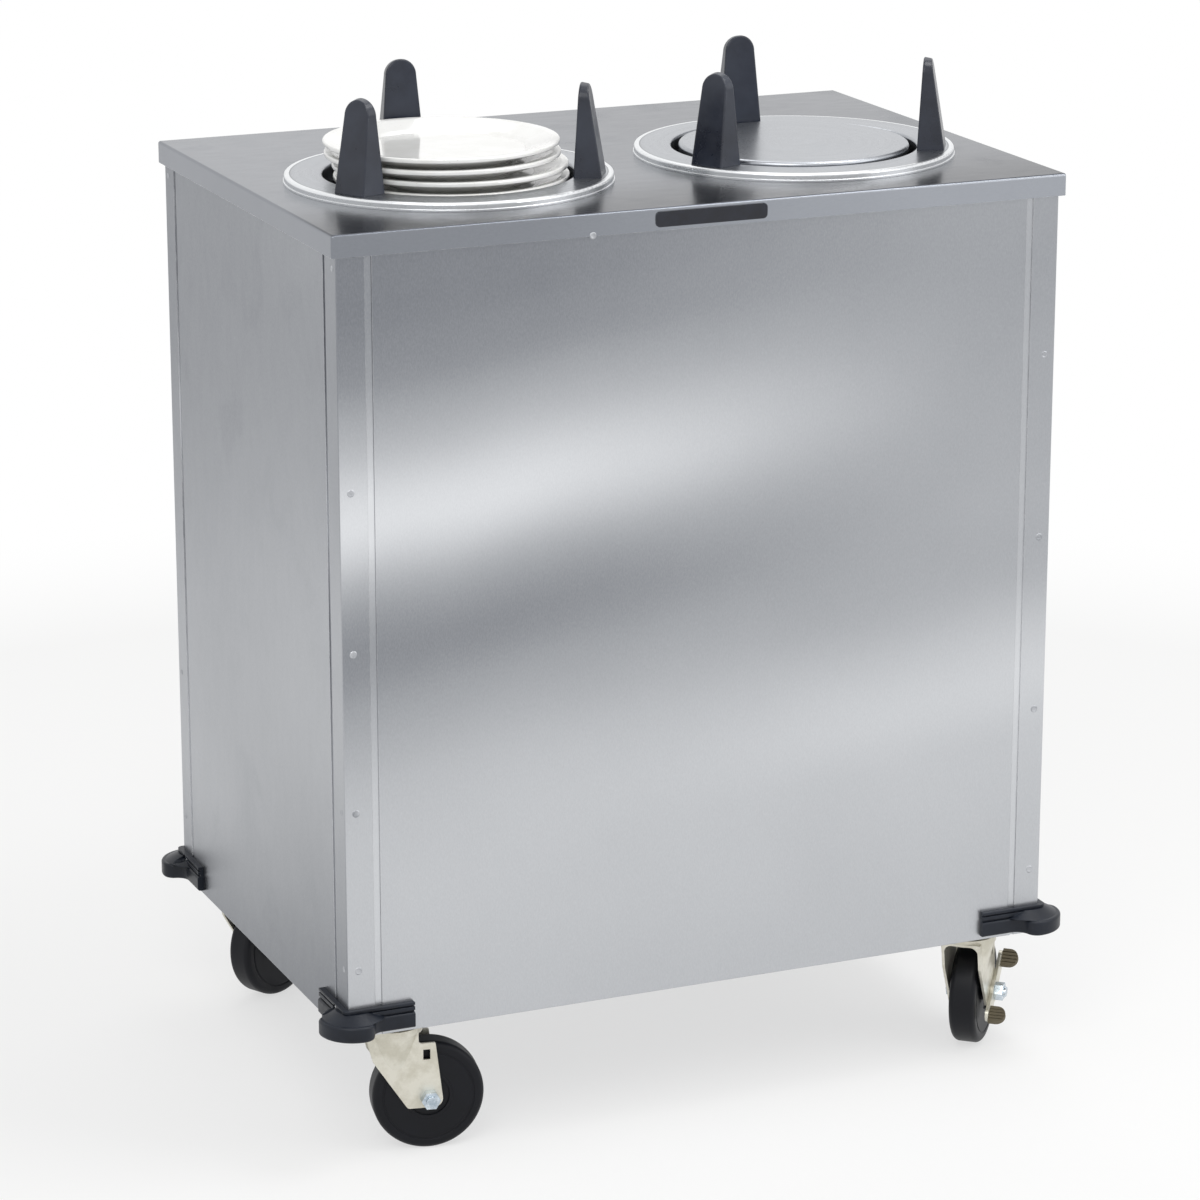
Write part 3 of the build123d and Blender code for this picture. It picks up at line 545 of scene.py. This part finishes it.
def makeMoulded(name, look, wear):
    material, tree, shader, here = newMaterial(name)
    skin = place(tree, groups["skin"], {"Vector": here, "Fine": look["fine"]})
    marks = place(tree, groups["handling"], {"Vector": here, "Scale": wear["marks"]})
    edge = place(tree, groups["edge"], {"Vector": here, "Width": wear["edgeWidth"]})
    level = spread(tree, skin["Tone"], *wear["toneReach"])
    level = maths(tree, "MULTIPLY_ADD", edge["Edge"], wear["edgeTint"], level, clamp=True)
    level = maths(tree, "MULTIPLY_ADD", marks["Scratch"], wear["scratchTint"], level, clamp=True)
    feed(tree, tint(tree, level, look["colour"], look["worn"]), shader.inputs["Base Color"])
    smooth = look["roughness"] - wear["toneDull"] / 2
    rough = maths(tree, "MULTIPLY_ADD", skin["Tone"], wear["toneDull"], smooth)
    rough = maths(tree, "MULTIPLY_ADD", marks["Smudge"], wear["smudgeDull"], rough)
    feed(tree, rough, shader.inputs["Roughness"])
    relief = bumped(tree, skin["Grain"], look["depth"], wear["grainRelief"], edge["Round"])
    feed(tree, relief, shader.inputs["Normal"])
    shader.inputs["Specular IOR Level"].default_value = look["specular"]
    return material


glazeLook = {
    "colour": shade(240, 240, 238),
    "deep": shade(220, 219, 213),
    "iron": shade(150, 138, 118),
    "marks": 1.6,
    "toneScale": 26.0,
    "toneReach": (0.35, 0.7, 0.0, 0.35),
    "speckTint": 0.30,
    "roughness": 0.12,
    "scratchDull": 0.10,
    "ripple": 120.0,
    "rippleDepth": 0.05,
    "rippleRelief": 0.0006,
    "coat": 0.4,
    "coatRoughness": 0.05,
}


def makeGlaze(name, look):
    material, tree, shader, here = newMaterial(name)
    marks = place(tree, groups["handling"], {"Vector": here, "Scale": look["marks"]})
    tone = noise(tree, here, look["toneScale"], 3.0)
    colour = tint(tree, spread(tree, tone, *look["toneReach"]), look["colour"], look["deep"])
    colour = tint(tree, maths(tree, "MULTIPLY", marks["Speck"], look["speckTint"]), colour, look["iron"])
    feed(tree, colour, shader.inputs["Base Color"])
    rough = maths(tree, "MULTIPLY_ADD", marks["Scratch"], look["scratchDull"], look["roughness"])
    feed(tree, rough, shader.inputs["Roughness"])
    ripple = noise(tree, here, look["ripple"], 2.0)
    feed(tree, bumped(tree, ripple, look["rippleDepth"], look["rippleRelief"]), shader.inputs["Normal"])
    shader.inputs["Coat Weight"].default_value = look["coat"]
    shader.inputs["Coat Roughness"].default_value = look["coatRoughness"]
    return material


enamelLook = {
    "colour": shade(10, 13, 24),
    "light": shade(26, 31, 46),
    "toneScale": 90.0,
    "toneReach": (0.3, 0.75, 0.0, 0.5),
    "roughReach": (0.2, 0.8, 0.16, 0.28),
    "toneDepth": 0.04,
    "toneRelief": 0.0004,
}


def makeEnamel(name, look):
    material, tree, shader, here = newMaterial(name)
    tone = noise(tree, here, look["toneScale"], 4.0, 0.6)
    colour = tint(tree, spread(tree, tone, *look["toneReach"]), look["colour"], look["light"])
    colour, rounded = paintEdgeWearAndHighlight(tree, here, colour, edgeWearAndHighlightLooks["enamel"])
    feed(tree, colour, shader.inputs["Base Color"])
    feed(tree, spread(tree, tone, *look["roughReach"]), shader.inputs["Roughness"])
    feed(tree, bumped(tree, tone, look["toneDepth"], look["toneRelief"], rounded), shader.inputs["Normal"])
    return material


def dressNodes():
    panel = makeSheetSteel("brushedPanel", panelSteel, paintedPanelReflections)
    deck = makeSheetSteel("brushedDeck", deckSteel, paintedDeckReflections)
    turned = {side: makeTurnedSteel(f"turnedSteel_{side}", turnedSteel, wells[side]) for side in wells}
    plated = {name: makePlatedSteel(f"plated_{name}", look, platedCoat) for name, look in platedSteel.items()}
    moulded = {name: makeMoulded(f"moulded_{name}", look, mouldedWear) for name, look in mouldedLook.items()}
    glaze = makeGlaze("glaze", glazeLook)
    enamel = makeEnamel("enamel", enamelLook)
    endings = (
        ("_panel", panel), ("_post", panel), ("top_deck", deck), ("base_pan", plated["mill"]),
        ("name_plate", enamel), ("bumper_rivets", plated["rivet"]), ("_bumper", moulded["bumper"]),
        ("_guide", moulded["guide"]), ("_tube", plated["mill"]), ("_spider", plated["mill"]),
        ("_springs", plated["spring"]), ("guide_screws", plated["bolt"]), ("caster_plates", plated["caster"]),
        ("swivel_balls", plated["bolt"]), ("caster_bolts", plated["bolt"]), ("_fork", plated["caster"]),
        ("_tyre", moulded["tyre"]), ("_wheel_hub", moulded["tyre"]), ("_axle", plated["bolt"]),
        ("_brake_lever", plated["caster"]), ("_brake_pads", moulded["pad"]),
    )
    for name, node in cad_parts.items():
        if name.endswith("_collar") or name.endswith("_carrier"):
            finish = turned["left" if name.startswith("left") else "right"]
        elif name.startswith("plate_"):
            finish = glaze
        else:
            finish = next(material for ending, material in endings if name.endswith(ending))
        node.data.materials.clear()
        node.data.materials.append(finish)
    print("finishes on", len(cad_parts), "pieces")


dressNodes()


# little spot welds that show on the corner posts, and a bead under the front lip

spotWeld = {
    "profile": ((0.0012, 0.00016), (0.0021, 0.00008), (0.0028, 0.00055), (0.0035, 0.00062), (0.0043, 0.0)),
    "centre": 0.00026,
    "segments": 20,
    "fromCorner": {"front": 0.013, "side": 0.011},
    "frontScale": 1.0,
    "heights": {"left": (0.234, 0.416, 0.596, 0.775), "right": (0.234, 0.430, 0.636, 0.849)},
    "sideHeights": (0.234, 0.416, 1.017),
    "sideScale": 0.8,
    "bead": (-0.139, 1.0318),
    "beadScale": 0.9,
}


def addWeld(mesh, look, spot, normal, scale):
    facing = Vector((0.0, 0.0, 1.0)).rotation_difference(Vector(normal)).to_matrix().to_4x4()
    settle = Matrix.Translation(spot) @ facing @ Matrix.Scale(scale, 4)
    crown = mesh.verts.new(settle @ Vector((0.0, 0.0, look["centre"])))
    rings = []
    turns = [2 * math.pi * step / look["segments"] for step in range(look["segments"])]
    for radius, height in look["profile"]:
        ring = [Vector((radius * math.cos(turn), radius * math.sin(turn), height)) for turn in turns]
        rings.append([mesh.verts.new(settle @ point) for point in ring])
    for step in range(look["segments"]):
        after = (step + 1) % look["segments"]
        mesh.faces.new((crown, rings[0][step], rings[0][after])).smooth = True
        for inner, outer in zip(rings, rings[1:]):
            mesh.faces.new((inner[step], outer[step], outer[after], inner[after])).smooth = True


def makeSpotWelds(look):
    mesh = bmesh.new()
    for corner, (toX, toY) in corners.items():
        low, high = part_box(f"{corner}_post")
        outX, outY = (high if toX > 0 else low)[0], (high if toY > 0 else low)[1]
        for height in look["heights"]["left" if toX < 0 else "right"]:
            spot = (outX - toX * look["fromCorner"]["front"], outY, height)
            addWeld(mesh, look, spot, (0, toY, 0), look["frontScale"])
        for height in look["sideHeights"]:
            spot = (outX, outY - toY * look["fromCorner"]["side"], height)
            addWeld(mesh, look, spot, (toX, 0, 0), look["sideScale"])
    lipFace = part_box("top_deck")[0][1]
    addWeld(mesh, look, (look["bead"][0], lipFace, look["bead"][1]), (0, -1, 0), look["beadScale"])
    sheet = bpy.data.meshes.new("spotWelds")
    mesh.to_mesh(sheet)
    mesh.free()
    welds = bpy.data.objects.new("spotWelds", sheet)
    bpy.context.scene.collection.objects.link(welds)
    # the welds take the darker mill finish, painted shade that lets the dimples show as faint dark dots
    sheet.materials.append(bpy.data.materials["plated_mill"])
    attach(welds, "cabinet")


makeSpotWelds(spotWeld)
print("spot welds on the posts")


# wound springs between the cabinet's anchors and the carriers' arms

springCoil = {
    "circle": 0.162,
    "coil": 0.007,
    "wire": 0.001,
    "turns": 46,
    "perTurn": 16,
    "sides": 6,
    "angles": (30.0, 150.0, 270.0),
    "gap": 0.004,
    "hookSteps": 28,
}


def bendWire(mesh, look, course, closed):
    rings, sides = [], look["sides"]
    for spot, outward, across in course:
        turns = [2 * math.pi * side / sides for side in range(sides)]
        spokes = [outward * math.cos(turn) + across * math.sin(turn) for turn in turns]
        rings.append([mesh.verts.new(spot + look["wire"] * spoke) for spoke in spokes])
    for one, other in list(zip(rings, rings[1:])) + ([(rings[-1], rings[0])] if closed else []):
        for side in range(sides):
            after = (side + 1) % sides
            mesh.faces.new((one[side], one[after], other[after], other[side])).smooth = True
    if not closed:
        mesh.faces.new(rings[0])
        mesh.faces.new(rings[-1])


def hookCourse(look, settle, spin, level):
    course = []
    for step in range(look["hookSteps"]):
        turn = 2 * math.pi * step / look["hookSteps"]
        out = Vector((math.cos(turn), 0.0, math.sin(turn)))
        spot = settle @ (out * look["coil"] + Vector((0.0, 0.0, level)))
        course.append((spot, spin @ out, spin @ Vector((0.0, 1.0, 0.0))))
    return course


def coilCourse(look, settle, spin, bottom, top):
    course, steps = [], look["turns"] * look["perTurn"]
    for step in range(steps + 1):
        turn = 2 * math.pi * step / look["perTurn"]
        out = Vector((math.cos(turn), math.sin(turn), 0.0))
        lift = Vector((0.0, 0.0, bottom + (top - bottom) * step / steps))
        course.append((settle @ (out * look["coil"] + lift), spin @ out, Vector((0.0, 0.0, 1.0))))
    return course


def makeSprings(look):
    reach = look["coil"] + look["wire"]
    for side, (wellX, wellY) in wells.items():
        low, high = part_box(f"{side}_springs")
        hooks = (low[2] + reach, high[2] - reach)
        mesh = bmesh.new()
        for angle in look["angles"]:
            spin = Matrix.Rotation(math.radians(angle), 4, "Z")
            outward = Matrix.Translation((look["circle"], 0.0, 0.0))
            settle = Matrix.Translation((wellX, wellY, 0.0)) @ spin @ outward
            for level in hooks:
                bendWire(mesh, look, hookCourse(look, settle, spin, level), True)
            coil = coilCourse(look, settle, spin, hooks[0] + look["gap"], hooks[1] - look["gap"])
            bendWire(mesh, look, coil, False)
        bmesh.ops.recalc_face_normals(mesh, faces=mesh.faces)
        wound = bpy.data.meshes.new(f"{side}Springs")
        mesh.to_mesh(wound)
        mesh.free()
        springs = bpy.data.objects.new(f"{side}Springs", wound)
        bpy.context.scene.collection.objects.link(springs)
        wound.materials.append(bpy.data.materials["plated_spring"])
        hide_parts(f"{side}_springs")
        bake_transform(springs)


makeSprings(springCoil)
print("springs wound")


# stage

studio = {
    "floorSize": 40.0,
    "nearFloor": 0.9,
    "farFloor": 2.4,
    "floorColour": (0.90, 0.90, 0.89, 1.0),
    "floorSpeck": (0.80, 0.80, 0.80, 1.0),
    "speckScale": 3.0,
    "speckReach": (0.3, 0.7, 0.0, 0.03),
    "haze": 0.62,
    "worldLight": 0.56,
}


def seenStraight(tree):
    rays = put(tree, "ShaderNodeLightPath").outputs
    seen = maths(tree, "ADD", rays["Is Camera Ray"], rays["Is Glossy Ray"])
    return maths(tree, "ADD", seen, rays["Is Transmission Ray"], clamp=True)


# the floor takes the cart's shadow nearby and is plain white further out
def makeFloor(look):
    mesh = bpy.data.meshes.new("floor")
    half = look["floorSize"] / 2
    ends = ((-half, -half), (half, -half), (half, half), (-half, half))
    mesh.from_pydata([(x, y, 0.0) for x, y in ends], [], [(0, 1, 2, 3)])
    floor = bpy.data.objects.new("floor", mesh)
    bpy.context.scene.collection.objects.link(floor)
    material, tree, shader, here = newMaterial("paleFloor")
    speck = spread(tree, noise(tree, here, look["speckScale"], 2.0), *look["speckReach"])
    speckled = tint(tree, speck, look["floorColour"], look["floorSpeck"])
    lit = put(tree, "ShaderNodeBsdfDiffuse", {"Color": speckled})
    white = put(tree, "ShaderNodeEmission", {"Color": (1.0, 1.0, 1.0, 1.0), "Strength": 1.0})
    far = spread(tree, vectorMaths(tree, "LENGTH", here), look["nearFloor"], look["farFloor"])
    far = maths(tree, "MAXIMUM", far, maths(tree, "MULTIPLY", seenStraight(tree), look["haze"]))
    mixed = put(tree, "ShaderNodeMixShader", {0: far, 1: lit.outputs[0], 2: white.outputs[0]})
    tree.links.new(mixed.outputs[0], tree.nodes["Material Output"].inputs["Surface"])
    tree.nodes.remove(shader)
    mesh.materials.append(material)


def makeWorld(look):
    world = bpy.data.worlds.new("studio")
    world.use_nodes = True
    bpy.context.scene.world = world
    tree = world.node_tree
    strength = maths(tree, "MULTIPLY_ADD", seenStraight(tree), 1.0 - look["worldLight"], look["worldLight"])
    feed(tree, (1.0, 1.0, 1.0, 1.0), tree.nodes["Background"].inputs["Color"])
    feed(tree, strength, tree.nodes["Background"].inputs["Strength"])


lamps = {
    "key": {"place": (-1.8, -2.6, 3.4), "size": 2.2, "power": 48.0},
    "top": {"place": (1.2, -0.9, 3.7), "size": 1.5, "power": 35.0},
    "fill": {"place": (2.8, -2.4, 2.2), "size": 2.4, "power": 22.0},
    "back": {"place": (0.9, 1.9, 4.2), "size": 2.4, "power": 24.0},
}


def makeLamps():
    aim = Vector((0.0, 0.0, 0.6))
    for name, look in lamps.items():
        data = bpy.data.lights.new(name, "AREA")
        data.shape = "SQUARE"
        data.size = look["size"]
        data.energy = look["power"]
        lamp = bpy.data.objects.new(name, data)
        lamp.location = look["place"]
        lamp.rotation_mode = "QUATERNION"
        lamp.rotation_quaternion = (aim - lamp.location).to_track_quat("-Z", "Y")
        bpy.context.scene.collection.objects.link(lamp)


# the photograph's view, found without a lens shift
cameraView = {
    "azimuth": -23.22,
    "elevation": 16.39,
    "distance": 5.154,
    "aim": (-0.0112, -0.0155, 0.5366),
    "lens": 132.8,
}


def makeCamera(look):
    data = bpy.data.cameras.new("camera")
    data.sensor_width = 36.0
    data.lens = look["lens"]
    data.dof.use_dof = False
    camera = bpy.data.objects.new("camera", data)
    turn, lift = math.radians(look["azimuth"]), math.radians(look["elevation"])
    back = Vector((math.sin(turn) * math.cos(lift), -math.cos(turn) * math.cos(lift), math.sin(lift)))
    camera.location = Vector(look["aim"]) + back * look["distance"]
    camera.rotation_mode = "QUATERNION"
    camera.rotation_quaternion = (-back).to_track_quat("-Z", "Y")
    bpy.context.scene.collection.objects.link(camera)
    bpy.context.scene.camera = camera


makeFloor(studio)
makeWorld(studio)
makeLamps()
makeCamera(cameraView)
bpy.context.scene.view_settings.view_transform = "Standard"
print("stage, lamps and camera set")
